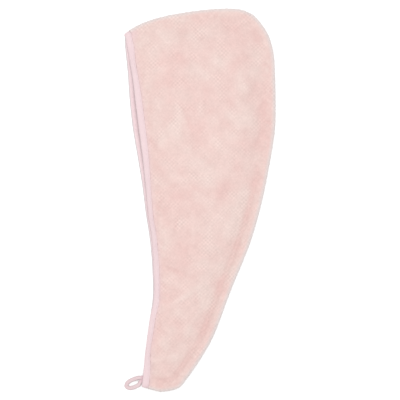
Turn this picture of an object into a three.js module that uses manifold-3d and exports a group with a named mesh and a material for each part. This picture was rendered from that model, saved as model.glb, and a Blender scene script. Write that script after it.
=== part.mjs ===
// A hair-drying turban of plush microfibre cloth, lying closed and relaxed on a table.
// Two cloth panels of one cut are seamed round the crown, down the back and across the tail, and turned out,
// so the seam allowance lies inside as a padded ridge. The straight side is open for the head and hair.
// One folded tape binds its whole edge, turning from the upper panel to the lower one at the nape and the tail.
// A short loop of tape is sewn in at the tail, and the button that it hooks on is under the nape.
// Millimetres, +Z up. The origin is on the table under the middle of the outline,
// +Y runs from the tail to the crown and +X from the open edge to the back seam.

import * as THREE from "three";
import { mergeVertices } from "three/addons/utils/BufferGeometryUtils.js";
import Module from "manifold-3d";

// Overall sizes
const LENGTH = 650; // tail tip to crown top
const WIDTH = 257; // nape corner to back seam
const CROWN_HEIGHT = 25; // table to the top of the upper panel's dome

// Cloth and seam
const WALL = 3; // plush cloth
const CLEARANCE = 0.3; // between pieces that lie on each other
const ALLOWANCE = 10; // cloth turned in at the seam
const VALLEY_INSET = 20; // from the seam to the bottom of the valley inside its ridge
const DOME_REACH = 44; // over which the upper panel rises from the valley
const LIP_REACH = 34; // over which it rounds over from the binding into the dome

// Binding
const BINDING_WIDTH = 11; // folded tape, as it shows on one side
const TAPE = 1; // its cloth
const BOUND_EDGE = 2.4; // plush pressed flat inside it
const CHANNEL_BOTTOM = 1.6; // from the fold to where the plush may reach
const EDGE_STEP = 0.35; // from where the panel starts to where it has its own thickness, in two steps
const TURN_BLEND = 24; // over which the tape swings into line with the seam at each end

// Loop
const LOOP_LENGTH = 33; // from the bound edge to the loop's tip
const LOOP_SPREAD = 18; // across the loop at its widest
const LOOP_WIDTH = 5.2; // of its tape
const LOOP_THICKNESS = 3.2;
const LOOP_END = 1.6; // tape pressed flat where it is sewn in
const LOOP_SEWN = 8; // length of each sewn end
const LOOP_STRAIGHT = 1; // of each end past the bound edge
const LOOP_ROOTS = 9.5; // between the middles of the two ends
const LOOP_DROOP = 30; // degrees that it points below square to the bound edge

// Button
const BUTTON_DIAMETER = 18;
const BUTTON_THICKNESS = 3;
const BUTTON_RIM = 2.2; // width of the raised rim
const BUTTON_DISH = 0.8; // depth of the hollow inside the rim
const BUTTON_ROUND = 0.6; // of its edges
const BUTTON_HOLE = 1.9; // diameter of each of the four holes
const BUTTON_HOLE_SPACING = 3.8;
const BUTTON_MARGIN = 6; // from the binding and the seam ridge to the button's edge
const BUTTON_LIFT_REACH = 44; // past the button, over which the cloth comes down to the table

// Heights that follow from the pieces stacked at the ends of the open edge
const bindingThickness = BOUND_EDGE + 2 * (TAPE + CLEARANCE);
const turnRadius = (bindingThickness + LOOP_END) / 2 + CLEARANCE;
const seamHeight = bindingThickness / 2 + turnRadius;
const upperSeam = seamHeight + CLEARANCE / 2;
const lowerSeam = seamHeight - CLEARANCE / 2;

// The seam from the nape to the tail: shares of WIDTH from the left and of LENGTH from the tail.
// valley is how deep the upper panel dips inside the ridge: 0 stays level and 1 touches the lower panel.
const SEAM = [
  { across: -0.003, along: 0.931, valley: 0.16 },
  { across: 0.048, along: 0.946, valley: 0.16 },
  { across: 0.127, along: 0.962, valley: 0.24 },
  { across: 0.246, along: 0.978, valley: 0.44 },
  { across: 0.405, along: 0.9895, valley: 0.48 },
  { across: 0.564, along: 0.9975, valley: 0.36 },
  { across: 0.7, along: 1, valley: 0.48 },
  { across: 0.786, along: 0.9965, valley: 0.56 },
  { across: 0.849, along: 0.984, valley: 0.64 },
  { across: 0.903, along: 0.96, valley: 0.64 },
  { across: 0.952, along: 0.929, valley: 0.4 },
  { across: 0.987, along: 0.877, valley: 0.32 },
  { across: 0.9965, along: 0.793, valley: 0.4 },
  { across: 0.9965, along: 0.694, valley: 0.56 },
  { across: 0.966, along: 0.61, valley: 0.56 },
  { across: 0.907, along: 0.494, valley: 0.64 },
  { across: 0.826, along: 0.383, valley: 0.8 },
  { across: 0.703, along: 0.265, valley: 0.8 },
  { across: 0.594, along: 0.15, valley: 0.8 },
  { across: 0.504, along: 0.086, valley: 0.72 },
  { across: 0.399, along: 0.027, valley: 0.56 },
  { across: 0.352, along: 0.009, valley: 0.48 },
  { across: 0.25, along: 0, valley: 0.32 },
  { across: 0.183, along: 0.0055, valley: 0.24 },
  { across: 0.114, along: 0.0128, valley: 0.16 },
];
const SHOULDER_ROW = 10; // where the top of the crown becomes the back
const HEEL_ROW = 21; // where the back becomes the tail's lower edge

// The open edge from the tail to the nape. across and along place the lower panel's fold,
// shift is how far inside it the upper panel's fold lies, as a share of BINDING_WIDTH,
// rise is how far that fold is lifted, as a share of CROWN_HEIGHT, tilt is the slope of the tape in degrees,
// and dome is the height of the upper panel across from there, as a share of CROWN_HEIGHT.
const MOUTH = [
  { across: 0.14, along: 0.1, shift: 0.02, rise: -0.02, tilt: 34, dome: 0.66 },
  { across: 0.164, along: 0.174, shift: 0.03, rise: -0.03, tilt: 30, dome: 0.74 },
  { across: 0.189, along: 0.247, shift: 0.05, rise: -0.03, tilt: 30, dome: 0.8 },
  { across: 0.186, along: 0.32, shift: 0.1, rise: -0.02, tilt: 32, dome: 0.84 },
  { across: 0.171, along: 0.393, shift: 0.22, rise: 0, tilt: 40, dome: 0.88 },
  { across: 0.143, along: 0.466, shift: 0.45, rise: 0.05, tilt: 42, dome: 0.93 },
  { across: 0.119, along: 0.54, shift: 0.6, rise: 0.1, tilt: 36, dome: 0.97 },
  { across: 0.089, along: 0.613, shift: 0.8, rise: 0.17, tilt: 16, dome: 1 },
  { across: 0.058, along: 0.686, shift: 0.95, rise: 0.23, tilt: 2, dome: 1 },
  { across: 0.037, along: 0.759, shift: 0.9, rise: 0.2, tilt: 6, dome: 1 },
  { across: 0.024, along: 0.832, shift: 0.68, rise: 0.11, tilt: 28, dome: 0.95 },
  { across: 0.006, along: 0.906, shift: 0.3, rise: 0.03, tilt: 26, dome: 0.8 },
];

// Soft folds and dents of the upper panel. long and wide are half lengths as shares of LENGTH,
// turn is the direction of the long one in degrees from +X, and high is a share of CROWN_HEIGHT.
const FOLDS = [
  { across: 0.38, along: 0.93, turn: -50, long: 0.035, wide: 0.017, high: -0.09 },
  { across: 0.26, along: 0.92, turn: 80, long: 0.03, wide: 0.018, high: 0.08 },
  { across: 0.27, along: 0.835, turn: 5, long: 0.035, wide: 0.014, high: 0.06 },
  { across: 0.45, along: 0.69, turn: -70, long: 0.06, wide: 0.014, high: -0.08 },
  { across: 0.58, along: 0.6, turn: -35, long: 0.04, wide: 0.016, high: -0.08 },
  { across: 0.7, along: 0.745, turn: -60, long: 0.04, wide: 0.014, high: -0.06 },
  { across: 0.51, along: 0.735, turn: 85, long: 0.035, wide: 0.014, high: 0.07 },
  { across: 0.26, along: 0.645, turn: 60, long: 0.022, wide: 0.018, high: 0.08 },
  { across: 0.65, along: 0.515, turn: 80, long: 0.045, wide: 0.018, high: -0.09 },
  { across: 0.26, along: 0.43, turn: 85, long: 0.035, wide: 0.016, high: 0.08 },
  { across: 0.47, along: 0.41, turn: 85, long: 0.035, wide: 0.014, high: 0.07 },
  { across: 0.68, along: 0.42, turn: 80, long: 0.035, wide: 0.014, high: 0.07 },
  { across: 0.39, along: 0.305, turn: -32, long: 0.05, wide: 0.011, high: -0.1 },
  { across: 0.36, along: 0.24, turn: 42, long: 0.045, wide: 0.015, high: 0.1 },
  { across: 0.4, along: 0.15, turn: 25, long: 0.035, wide: 0.014, high: 0.06 },
  { across: 0.28, along: 0.045, turn: 20, long: 0.03, wide: 0.014, high: -0.07 },
];

// Half of the loop from its root to its tip, as shares of its reach and of half its spread
const LOOP_ARM = [
  { far: 0.3, wide: 0.9 },
  { far: 0.62, wide: 1 },
  { far: 0.88, wide: 0.72 },
];

// How finely the shapes are divided. COLUMNS are shares of the way from the open edge to the back seam.
const SEAM_STEPS = 10; // of the seam's line, between two rows of its table
const COLUMNS = [0.03, 0.08, 0.15, 0.23, 0.32, 0.41, 0.5, 0.59, 0.67, 0.745, 0.81, 0.86, 0.9, 0.93, 0.955,
  0.974, 0.988, 0.996, 1];
const SEAM_ROWS = [1, 0.92, 0.7, 0.35]; // shares of the seam's height beyond each end of the open edge
const TURN_ROWS = [0, 0.22, 0.45, 0.7, 1, 1.35, 1.8]; // shares of TURN_BLEND inside it
const MIDDLE_ROWS = 27;
const TURN_STEPS = 6;
const FOLD_STEPS = 4; // round the fold of the tape
const LOOP_STEPS = 44;
const LOOP_SIDES = 10;
const BUTTON_SIDES = 32;
const HOLE_SIDES = 12;

const { lerp, smoothstep, clamp, degToRad } = THREE.MathUtils;
const UP = new THREE.Vector3(0, 0, 1);

function place(row) {
  return new THREE.Vector3((row.across - 0.5) * WIDTH, (row.along - 0.5) * LENGTH, 0);
}

// A smooth curve through the rows' values of one column, sharing its parameter with the curve through their places
function column(rows, name) {
  const curve = new THREE.CatmullRomCurve3(
    rows.map((row) => new THREE.Vector3(row[name], 0, 0)), false, "catmullrom");
  return (t) => curve.getPoint(t).x;
}

// The seam, and the ends of the open edge where the binding turns over
const seam = new THREE.CatmullRomCurve3(SEAM.map(place), false, "catmullrom", 0.5);
seam.arcLengthDivisions = SEAM_STEPS * (SEAM.length - 1);
const seamLength = seam.getLength();
const shareOfRow = (row) => seam.getLengths()[SEAM_STEPS * row] / seamLength;
const seamLine = seam.getSpacedPoints(SEAM_STEPS * SEAM.length);
const valleyAt = column(SEAM, "valley");

// at is where the tape turns over, inward runs along the seam and outward points off the cloth
function openEnd(share) {
  const corner = seam.getPointAt(share);
  const past = seam.getPointAt(Math.abs(share - (BINDING_WIDTH + CLEARANCE) / seamLength));
  const inward = past.clone().sub(corner).normalize();
  const outward = new THREE.Vector3(inward.y, -inward.x, 0);
  if (share === 0) outward.negate();
  return { corner, inward, outward, at: corner.clone().addScaledVector(outward, -seamHeight) };
}
const nape = openEnd(0);
const tail = openEnd(1);

// The button lies under the lower panel, clear of the binding and the seam ridge
const buttonInset = BUTTON_MARGIN + BUTTON_DIAMETER / 2;
const buttonPlace = nape.corner.clone()
  .addScaledVector(nape.inward, BINDING_WIDTH + buttonInset)
  .addScaledVector(nape.outward, -seamHeight - buttonInset);

// How far the button holds the cloth off the table
function lift(p) {
  const away = Math.hypot(p.x - buttonPlace.x, p.y - buttonPlace.y) - BUTTON_DIAMETER / 2;
  return (BUTTON_THICKNESS + CLEARANCE) * (1 - smoothstep(away, BUTTON_MARGIN, BUTTON_LIFT_REACH));
}

// Folds of the two panels' open edges, on curves that share their parameter
const ENDS = { shift: 0, rise: 0, tilt: 0, dome: 0.55 };
const mouthRows = [ENDS, ...MOUTH, { ...ENDS, dome: 0.7 }];
const mouthDetail = Object.fromEntries(
  ["rise", "tilt", "dome"].map((name) => [name, column(mouthRows, name)]));
const lowerFold = new THREE.CatmullRomCurve3(
  [tail.at, ...MOUTH.map(place), nape.at], false, "catmullrom", 0.5);
const upperFold = new THREE.CatmullRomCurve3(
  [tail.at,
    ...MOUTH.map((row) => place(row).add(new THREE.Vector3(row.shift * BINDING_WIDTH, 0, 0))),
    nape.at], false, "catmullrom", 0.5);
const mouthLength = lowerFold.getLength();

// The binding's own axes at a distance along the open edge: fold is a point on the middle of the folded tape,
// inward runs across the tape into the cloth, and normal is square to the cloth and points up.
// Beyond either end they stay as at the end, and past is how far beyond it the distance is.
function edgeFrame(distance, upper) {
  const held = clamp(distance, 0, mouthLength);
  const t = lowerFold.getUtoTmapping(held / mouthLength);
  const curve = upper ? upperFold : lowerFold;
  const tangent = curve.getTangent(t).setZ(0).normalize();
  const square = new THREE.Vector3(tangent.y, -tangent.x, 0);
  const end = held < mouthLength / 2 ? tail : nape;
  const fromEnd = Math.min(held, mouthLength - held);
  const inward = end.inward.clone().lerp(square, smoothstep(fromEnd, 0, TURN_BLEND)).normalize();
  const fold = curve.getPoint(t);
  fold.z = bindingThickness / 2;
  if (upper) {
    fold.z = seamHeight + turnRadius + mouthDetail.rise(t) * CROWN_HEIGHT;
    const tilt = mouthDetail.tilt(t) * smoothstep(fromEnd, enteredFrom, tiltedFrom);
    inward.applyAxisAngle(tangent, -degToRad(tilt));
  }
  const normal = inward.clone().cross(tangent).normalize();
  const past = Math.abs(distance - held);
  return { t, fold, tangent, inward, normal, end, past };
}

// The distance from a point to the seam, and the depth of the valley there
function toSeam(p) {
  let best = { distance: Infinity, share: 0 };
  for (let i = 1; i < seamLine.length; i += 1) {
    const a = seamLine[i - 1];
    const bx = seamLine[i].x - a.x;
    const by = seamLine[i].y - a.y;
    const f = clamp(((p.x - a.x) * bx + (p.y - a.y) * by) / (bx * bx + by * by), 0, 1);
    const distance = Math.hypot(p.x - a.x - f * bx, p.y - a.y - f * by);
    if (distance < best.distance) best = { distance, share: (i - 1 + f) / (seamLine.length - 1) };
  }
  return { distance: best.distance, valley: valleyAt(seam.getUtoTmapping(best.share)) };
}

// 0 at the seam and 1 where the rounded edge has reached its full height
function rounded(distance) {
  const rest = 1 - Math.min(distance / seamHeight, 1);
  return Math.sqrt(1 - rest * rest);
}

function foldsAt(p) {
  return FOLDS.reduce((sum, row) => {
    const from = p.clone().sub(place(row));
    const turn = degToRad(row.turn);
    const down = from.x * Math.cos(turn) + from.y * Math.sin(turn);
    const over = from.y * Math.cos(turn) - from.x * Math.sin(turn);
    const size = (down / (row.long * LENGTH)) ** 2 + (over / (row.wide * LENGTH)) ** 2;
    return sum + row.high * CROWN_HEIGHT * Math.exp(-size);
  }, 0);
}

// Outer and inner heights of the upper panel: a rounded edge over the allowance, a ridge, a valley and a dome.
// Beside the binding it leaves the tape at the tape's height and slope.
function upperHeights(p, fromMouth, t, lip) {
  const { distance, valley } = toSeam(p);
  const ridge = 2 * seamHeight;
  const lowest = 2 * (WALL + CLEARANCE);
  const dip = lerp(ridge, lowest, valley);
  const dome = Math.max(mouthDetail.dome(t) * CROWN_HEIGHT, dip);
  const body = distance < VALLEY_INSET
    ? lerp(ridge, dip, smoothstep(distance, seamHeight, VALLEY_INSET))
    : lerp(dip, dome, smoothstep(distance, VALLEY_INSET, VALLEY_INSET + DOME_REACH));
  const share = clamp(fromMouth / LIP_REACH, 0, 1);
  const reached = smoothstep(share, 0, 1);
  const slope = Math.min(lip.slope, (3 * Math.max(body - lip.height, 0)) / LIP_REACH);
  const soft = smoothstep(distance, 0, VALLEY_INSET) * reached;
  const top = lerp(lip.height, body, reached) + slope * fromMouth * (1 - share) ** 2 + foldsAt(p) * soft;
  const outer = lerp(upperSeam, Math.max(top, lowest), rounded(distance));
  const hollow = smoothstep(distance, ALLOWANCE + WALL, ALLOWANCE + 2 * WALL);
  const inner = lerp(Math.min(upperSeam, outer), outer - WALL, hollow);
  return { outer, inner };
}

// Outer and inner heights of the lower panel, which lies on the table inside its rounded edge
function lowerHeights(p) {
  const { distance } = toSeam(p);
  const outer = lerp(lowerSeam, 0, rounded(distance));
  const hollow = smoothstep(distance, ALLOWANCE, ALLOWANCE + WALL);
  return { outer, inner: lerp(lowerSeam, WALL, hollow) };
}

// A point of a patch between four curves that meet at its corners
function coons(s, t, left, sides) {
  const point = new THREE.Vector3();
  const add = (p, share) => point.addScaledVector(p, share);
  add(left, 1 - s);
  add(sides.right(t), s);
  add(sides.bottom(s), 1 - t);
  add(sides.top(s), t);
  add(sides.bottom(0), -(1 - s) * (1 - t));
  add(sides.bottom(1), -s * (1 - t));
  add(sides.top(0), -(1 - s) * t);
  add(sides.top(1), -s * t);
  return point;
}

// Rows of the grid as distances along the open edge, from the tail's seam to the crown's
const endRows = [
  ...SEAM_ROWS.map((share) => -share * seamHeight),
  ...TURN_ROWS.map((share) => share * TURN_BLEND),
];
const firstRow = endRows.at(-1);
const rowDistances = [
  ...endRows.slice(0, -1),
  ...Array.from({ length: MIDDLE_ROWS }, (_, i) =>
    lerp(firstRow, mouthLength - firstRow, i / (MIDDLE_ROWS - 1))),
  ...endRows.slice(0, -1).map((distance) => mouthLength - distance).reverse(),
];
// Where the cloth is first pressed flat, where it is fully in the tape, and where the tape has its whole tilt
const [pressedFrom, enteredFrom, tiltedFrom] = [TURN_ROWS[1], TURN_ROWS[3], TURN_ROWS[6]].map(
  (share) => share * TURN_BLEND);
const rowShare = (distance) => (distance + seamHeight) / (mouthLength + 2 * seamHeight);

// Where the panel starts beyond the binding, and how far its pressed edge reaches into it
const panelStart = BINDING_WIDTH + CLEARANCE;
function edgeColumns(distance, bodyInset) {
  const fromEnd = Math.min(distance, mouthLength - distance);
  const entered = smoothstep(fromEnd, pressedFrom, enteredFrom);
  const pressed = smoothstep(fromEnd, 0, pressedFrom);
  const half = BOUND_EDGE / 2;
  return [
    { inset: lerp(panelStart, CHANNEL_BOTTOM + CLEARANCE, entered), half, pressed },
    { inset: lerp(panelStart + EDGE_STEP, BINDING_WIDTH, entered), half, pressed },
    { inset: bodyInset, half: WALL / 2, pressed },
  ];
}

// One panel: pairs of outer and inner points on a grid, as a closed solid
function panel(upper) {
  const bodyInset = panelStart + 2 * EDGE_STEP;
  const seamAt = (share) => seam.getPointAt(clamp(share, 0, 1));
  const napeShare = bodyInset / seamLength;
  const shoulder = shareOfRow(SHOULDER_ROW);
  const heel = shareOfRow(HEEL_ROW);
  const sides = {
    right: (t) => seamAt(lerp(heel, shoulder, t)),
    bottom: (s) => seamAt(lerp(1 - napeShare, heel, s)),
    top: (s) => seamAt(lerp(napeShare, shoulder, s)),
  };
  const out = upper ? 1 : -1;
  const seamZ = upper ? upperSeam : lowerSeam;
  const grid = rowDistances.map((distance, row) => {
    const frame = edgeFrame(distance, upper);
    const edgeAt = (inset) =>
      frame.fold.clone().addScaledVector(frame.inward, inset).addScaledVector(frame.end.outward, frame.past);
    const bodyEdge = edgeAt(bodyInset);
    const lip = {
      height: bodyEdge.z + WALL / 2 / frame.normal.z,
      slope: frame.inward.z / Math.hypot(frame.inward.x, frame.inward.y),
    };
    const left = bodyEdge.clone().setZ(0);
    const heightsAt = (p) => {
      const fromMouth = Math.hypot(p.x - left.x, p.y - left.y);
      return upper ? upperHeights(p, fromMouth, frame.t, lip) : lowerHeights(p);
    };
    const ownEdge = heightsAt(left);
    const onEnd = row === 0 || row === rowDistances.length - 1;
    const edge = edgeColumns(distance, bodyInset).map(({ inset, half, pressed }) => {
      const middle = edgeAt(inset);
      const side = (own, way) =>
        middle.clone().setZ(own)
          .lerp(middle.clone().addScaledVector(frame.normal, way * half), pressed);
      return onEnd
        ? { outer: middle.clone().setZ(seamZ), inner: middle.clone().setZ(seamZ) }
        : { outer: side(ownEdge.outer, out), inner: side(ownEdge.inner, -out) };
    });
    const body = COLUMNS.map((s) => {
      const p = coons(s, rowShare(distance), left, sides);
      if (s === 1 || onEnd) return { outer: p.clone().setZ(seamZ), inner: p.clone().setZ(seamZ) };
      const { outer, inner } = heightsAt(p);
      return { outer: p.clone().setZ(outer), inner: p.clone().setZ(inner) };
    });
    return [...edge, ...body];
  });
  return closedGrid(grid, upper);
}

// Two facing skins over one grid, joined along its edge
function closedGrid(grid, upper) {
  const rows = grid.length;
  const columns = grid[0].length;
  const positions = [];
  for (const side of ["outer", "inner"]) {
    for (const row of grid) {
      for (const { [side]: p } of row) positions.push(p.x, p.y, p.z + lift(p));
    }
  }
  const index = [];
  const quad = (a, b, c, d) => index.push(a, b, c, a, c, d);
  const at = (side, row, col) => side * rows * columns + row * columns + col;
  for (let row = 1; row < rows; row += 1) {
    for (let col = 1; col < columns; col += 1) {
      for (const side of [0, 1]) {
        const corners = [
          at(side, row - 1, col - 1), at(side, row - 1, col), at(side, row, col), at(side, row, col - 1)];
        quad(...(upper === (side === 0) ? corners : corners.reverse()));
      }
    }
  }
  const edge = [];
  for (let col = 0; col < columns - 1; col += 1) edge.push([0, col]);
  for (let row = 0; row < rows - 1; row += 1) edge.push([row, columns - 1]);
  for (let col = columns - 1; col > 0; col -= 1) edge.push([rows - 1, col]);
  for (let row = rows - 1; row > 0; row -= 1) edge.push([row, 0]);
  edge.forEach(([row, col], i) => {
    const [nextRow, nextCol] = edge[(i + 1) % edge.length];
    const corners = [at(1, row, col), at(1, nextRow, nextCol), at(0, nextRow, nextCol), at(0, row, col)];
    quad(...(upper ? corners : corners.reverse()));
  });
  return { positions, index };
}

// A section carried round a list of stations; each gives the section's points in space
function loft(stations, closed) {
  const sides = stations[0].length;
  const positions = stations.flat().flatMap((p) => [p.x, p.y, p.z]);
  const index = [];
  const spans = closed ? stations.length : stations.length - 1;
  for (let i = 0; i < spans; i += 1) {
    const next = (i + 1) % stations.length;
    for (let k = 0; k < sides; k += 1) {
      const other = (k + 1) % sides;
      const corners = [i * sides + k, next * sides + k, next * sides + other, i * sides + other];
      index.push(corners[0], corners[1], corners[2], corners[0], corners[2], corners[3]);
    }
  }
  if (!closed) {
    const last = (stations.length - 1) * sides;
    for (let k = 1; k < sides - 1; k += 1) {
      index.push(0, k, k + 1);
      index.push(last, last + k + 1, last + k);
    }
  }
  return { positions, index };
}

// The folded tape's section: across is from the fold into the cloth, up is square to the cloth
function bindingSection() {
  const half = bindingThickness / 2;
  const channel = BOUND_EDGE / 2 + CLEARANCE;
  const section = [[BINDING_WIDTH, channel], [BINDING_WIDTH, half]];
  for (let k = 0; k <= FOLD_STEPS; k += 1) {
    const angle = Math.PI / 2 + (k / FOLD_STEPS) * Math.PI;
    section.push([half + half * Math.cos(angle), half * Math.sin(angle)]);
  }
  section.push([BINDING_WIDTH, -half], [BINDING_WIDTH, -channel]);
  section.push([CHANNEL_BOTTOM, -channel], [CHANNEL_BOTTOM, channel]);
  return section;
}

function binding() {
  const section = bindingSection();
  const station = (fold, inward, normal) =>
    section.map(([across, up]) => {
      const p = fold.clone().addScaledVector(inward, across).addScaledVector(normal, up);
      p.z += lift(p);
      return p;
    });
  const run = rowDistances.filter((distance) => distance >= 0 && distance <= mouthLength);
  const upperRun = run.map((d) => {
    const frame = edgeFrame(d, true);
    return station(frame.fold, frame.inward, frame.normal);
  });
  const lowerRun = run.map((d) => {
    const frame = edgeFrame(d, false);
    return station(frame.fold, frame.inward, frame.normal.clone().negate());
  });
  const turn = (end, from) =>
    Array.from({ length: TURN_STEPS - 1 }, (_, i) => {
      const angle = (Math.PI * (i + 1)) / TURN_STEPS;
      const normal = UP.clone().multiplyScalar(from * Math.cos(angle))
        .addScaledVector(end.outward, Math.sin(angle));
      const centre = end.at.clone().setZ(seamHeight);
      return station(centre.addScaledVector(normal, turnRadius), end.inward, normal);
    });
  return loft([...upperRun, ...turn(nape, 1), ...lowerRun.reverse(), ...turn(tail, -1)], true);
}

// The loop: an oval tape that leaves the bound edge, swings round and comes back beside itself.
// Its ends are pressed flat between the upper and lower runs of the binding.
function hangingLoop() {
  const turnHollow = turnRadius - bindingThickness / 2;
  const root = (LOOP_WIDTH + LOOP_ROOTS - turnHollow) / 2;
  const frame = edgeFrame(root, false);
  const along = tail.outward.clone().negate();
  const away = new THREE.Vector3().crossVectors(frame.tangent, UP).negate();
  const aim = away.clone().applyAxisAngle(UP, degToRad(LOOP_DROOP));
  const beside = aim.clone().applyAxisAngle(UP, -Math.PI / 2);
  const middle = frame.fold.clone().setZ(0);
  const halfSpread = (LOOP_SPREAD - LOOP_WIDTH) / 2;
  const reach = LOOP_LENGTH - LOOP_WIDTH / 2;
  const arm = (side) => {
    const start = middle.clone().addScaledVector(along, (side * LOOP_ROOTS) / 2);
    const bend = LOOP_ARM.map(({ far, wide }) =>
      middle.clone().addScaledVector(aim, far * reach).addScaledVector(beside, side * wide * halfSpread));
    return [
      start.clone().addScaledVector(away, -LOOP_SEWN),
      start.clone().addScaledVector(away, LOOP_STRAIGHT),
      ...bend,
    ];
  };
  const tip = middle.clone().addScaledVector(aim, reach);
  const line = new THREE.CatmullRomCurve3([...arm(1), tip, ...arm(-1).reverse()], false, "centripetal");
  const total = line.getLength();
  const pressedTo = LOOP_SEWN + CLEARANCE;
  const stations = Array.from({ length: LOOP_STEPS + 1 }, (_, i) => {
    const share = i / LOOP_STEPS;
    const p = line.getPointAt(share);
    const tangent = line.getTangentAt(share).setZ(0).normalize();
    const side = new THREE.Vector3(tangent.y, -tangent.x, 0);
    const fromEnd = Math.min(share, 1 - share) * total;
    const free = smoothstep(fromEnd, pressedTo, pressedTo + LOOP_WIDTH);
    const thick = lerp(LOOP_END, LOOP_THICKNESS, free) / 2;
    p.z = lerp(seamHeight, LOOP_THICKNESS / 2, smoothstep(fromEnd, pressedTo, total / 2));
    return Array.from({ length: LOOP_SIDES }, (__, k) => {
      const angle = (2 * Math.PI * k) / LOOP_SIDES;
      return p.clone()
        .addScaledVector(side, (LOOP_WIDTH / 2) * Math.cos(angle))
        .addScaledVector(UP, thick * Math.sin(angle));
    });
  });
  return loft(stations, false);
}

const MERGE_WITHIN = 1e-4; // points closer than this are one
const wasm = await Module();
wasm.setup();

function solid(shape) {
  const geometry = new THREE.BufferGeometry()
    .setAttribute("position", new THREE.Float32BufferAttribute(shape.positions, 3))
    .setIndex(shape.index);
  const merged = mergeVertices(geometry, MERGE_WITHIN);
  const mesh = new wasm.Mesh({
    numProp: 3,
    vertProperties: merged.attributes.position.array,
    triVerts: new Uint32Array(merged.index.array),
  });
  return new wasm.Manifold(mesh);
}

function geometryOf(made) {
  const mesh = made.getMesh();
  return new THREE.BufferGeometry()
    .setAttribute("position", new THREE.BufferAttribute(mesh.vertProperties, 3))
    .setIndex(new THREE.BufferAttribute(mesh.triVerts, 1));
}

// A round button with a raised rim and four holes, its dished face down
function button() {
  const radius = BUTTON_DIAMETER / 2;
  const holeRadius = BUTTON_HOLE / 2;
  const profile = [
    [0, BUTTON_DISH], [radius - BUTTON_RIM - BUTTON_ROUND, BUTTON_DISH], [radius - BUTTON_RIM, 0],
    [radius - BUTTON_ROUND, 0], [radius, BUTTON_ROUND], [radius, BUTTON_THICKNESS - BUTTON_ROUND],
    [radius - BUTTON_ROUND, BUTTON_THICKNESS], [0, BUTTON_THICKNESS],
  ].map(([x, y]) => new THREE.Vector2(x, y));
  const body = new THREE.LatheGeometry(profile, BUTTON_SIDES).rotateX(Math.PI / 2);
  const plain = (geometry) => {
    geometry.deleteAttribute("normal");
    geometry.deleteAttribute("uv");
    const merged = mergeVertices(geometry, MERGE_WITHIN);
    return { positions: Array.from(merged.attributes.position.array), index: Array.from(merged.index.array) };
  };
  let made = solid(plain(body));
  for (const x of [-1, 1]) {
    for (const y of [-1, 1]) {
      const hole = new THREE.CylinderGeometry(holeRadius, holeRadius, 3 * BUTTON_THICKNESS, HOLE_SIDES)
        .rotateX(Math.PI / 2)
        .translate((x * BUTTON_HOLE_SPACING) / 2, (y * BUTTON_HOLE_SPACING) / 2, 0);
      made = made.subtract(solid(plain(hole)));
    }
  }
  return geometryOf(made);
}

const plush = new THREE.MeshStandardMaterial({ color: 0xf0d2cb, roughness: 0.95, metalness: 0 });
const tapeCloth = new THREE.MeshStandardMaterial({ color: 0xf3dadd, roughness: 0.8, metalness: 0 });
const loopCloth = new THREE.MeshStandardMaterial({ color: 0xefcfd6, roughness: 0.8, metalness: 0 });
const buttonPlastic = new THREE.MeshStandardMaterial({ color: 0xf0d3d4, roughness: 0.35, metalness: 0 });

function piece(name, geometry, material) {
  const mesh = new THREE.Mesh(geometry, material);
  mesh.name = name;
  return mesh;
}

const buttonMesh = piece("button", button(), buttonPlastic);
buttonMesh.position.copy(buttonPlace);

const turban = new THREE.Group();
turban.add(
  piece("upper_panel", geometryOf(solid(panel(true))), plush),
  piece("lower_panel", geometryOf(solid(panel(false))), plush),
  piece("edge_binding", geometryOf(solid(binding())), tapeCloth),
  piece("hanging_loop", geometryOf(solid(hangingLoop())), loopCloth),
  buttonMesh,
);

export default turban;
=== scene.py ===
# %% [markdown]
# A hair-drying turban of plush microfibre cloth, lying closed and relaxed on a white table.
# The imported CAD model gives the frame: where each piece lies and how big it is. Blender gives the looks.
# Every length here is in metres, and every piece is made where the frame says, so nothing is fitted by eye.

# %% Load the frame
import math

import bmesh
import bpy
import numpy as np
from mathutils import Matrix, Vector
from mathutils.bvhtree import BVHTree
from mathutils.kdtree import KDTree


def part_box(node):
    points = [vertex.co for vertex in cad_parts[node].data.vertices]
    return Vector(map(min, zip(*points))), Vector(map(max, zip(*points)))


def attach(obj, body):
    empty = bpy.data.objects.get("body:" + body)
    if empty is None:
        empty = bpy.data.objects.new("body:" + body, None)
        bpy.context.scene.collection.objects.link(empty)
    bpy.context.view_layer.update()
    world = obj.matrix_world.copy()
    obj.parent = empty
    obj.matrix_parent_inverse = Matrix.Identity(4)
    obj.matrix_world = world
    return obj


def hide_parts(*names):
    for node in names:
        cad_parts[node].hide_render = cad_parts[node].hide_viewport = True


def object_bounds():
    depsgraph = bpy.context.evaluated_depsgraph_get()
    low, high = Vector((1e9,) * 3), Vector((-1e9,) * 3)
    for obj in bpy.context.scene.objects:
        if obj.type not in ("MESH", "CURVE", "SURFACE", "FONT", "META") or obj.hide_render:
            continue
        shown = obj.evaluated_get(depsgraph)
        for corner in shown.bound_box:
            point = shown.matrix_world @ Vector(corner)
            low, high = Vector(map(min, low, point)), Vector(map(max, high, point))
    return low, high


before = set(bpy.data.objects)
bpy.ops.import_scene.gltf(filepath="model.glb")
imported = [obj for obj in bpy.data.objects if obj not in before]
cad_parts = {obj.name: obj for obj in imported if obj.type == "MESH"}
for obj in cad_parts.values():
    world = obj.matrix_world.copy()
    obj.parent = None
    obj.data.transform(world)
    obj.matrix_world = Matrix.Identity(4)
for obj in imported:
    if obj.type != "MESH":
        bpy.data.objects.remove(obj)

MM = 0.001
cad_low, cad_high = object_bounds()
print("CAD box in millimetres:", [round(side / MM) for side in cad_high - cad_low])

# %% [markdown]
# The photograph is taken from straight above, with the crown at the top of the picture. A camera in Blender
# looks down its own -Z axis, so an unturned camera above the table already has this view. It stands well
# away with a long lens, which keeps the outline true, as the flat photograph does.

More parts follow.
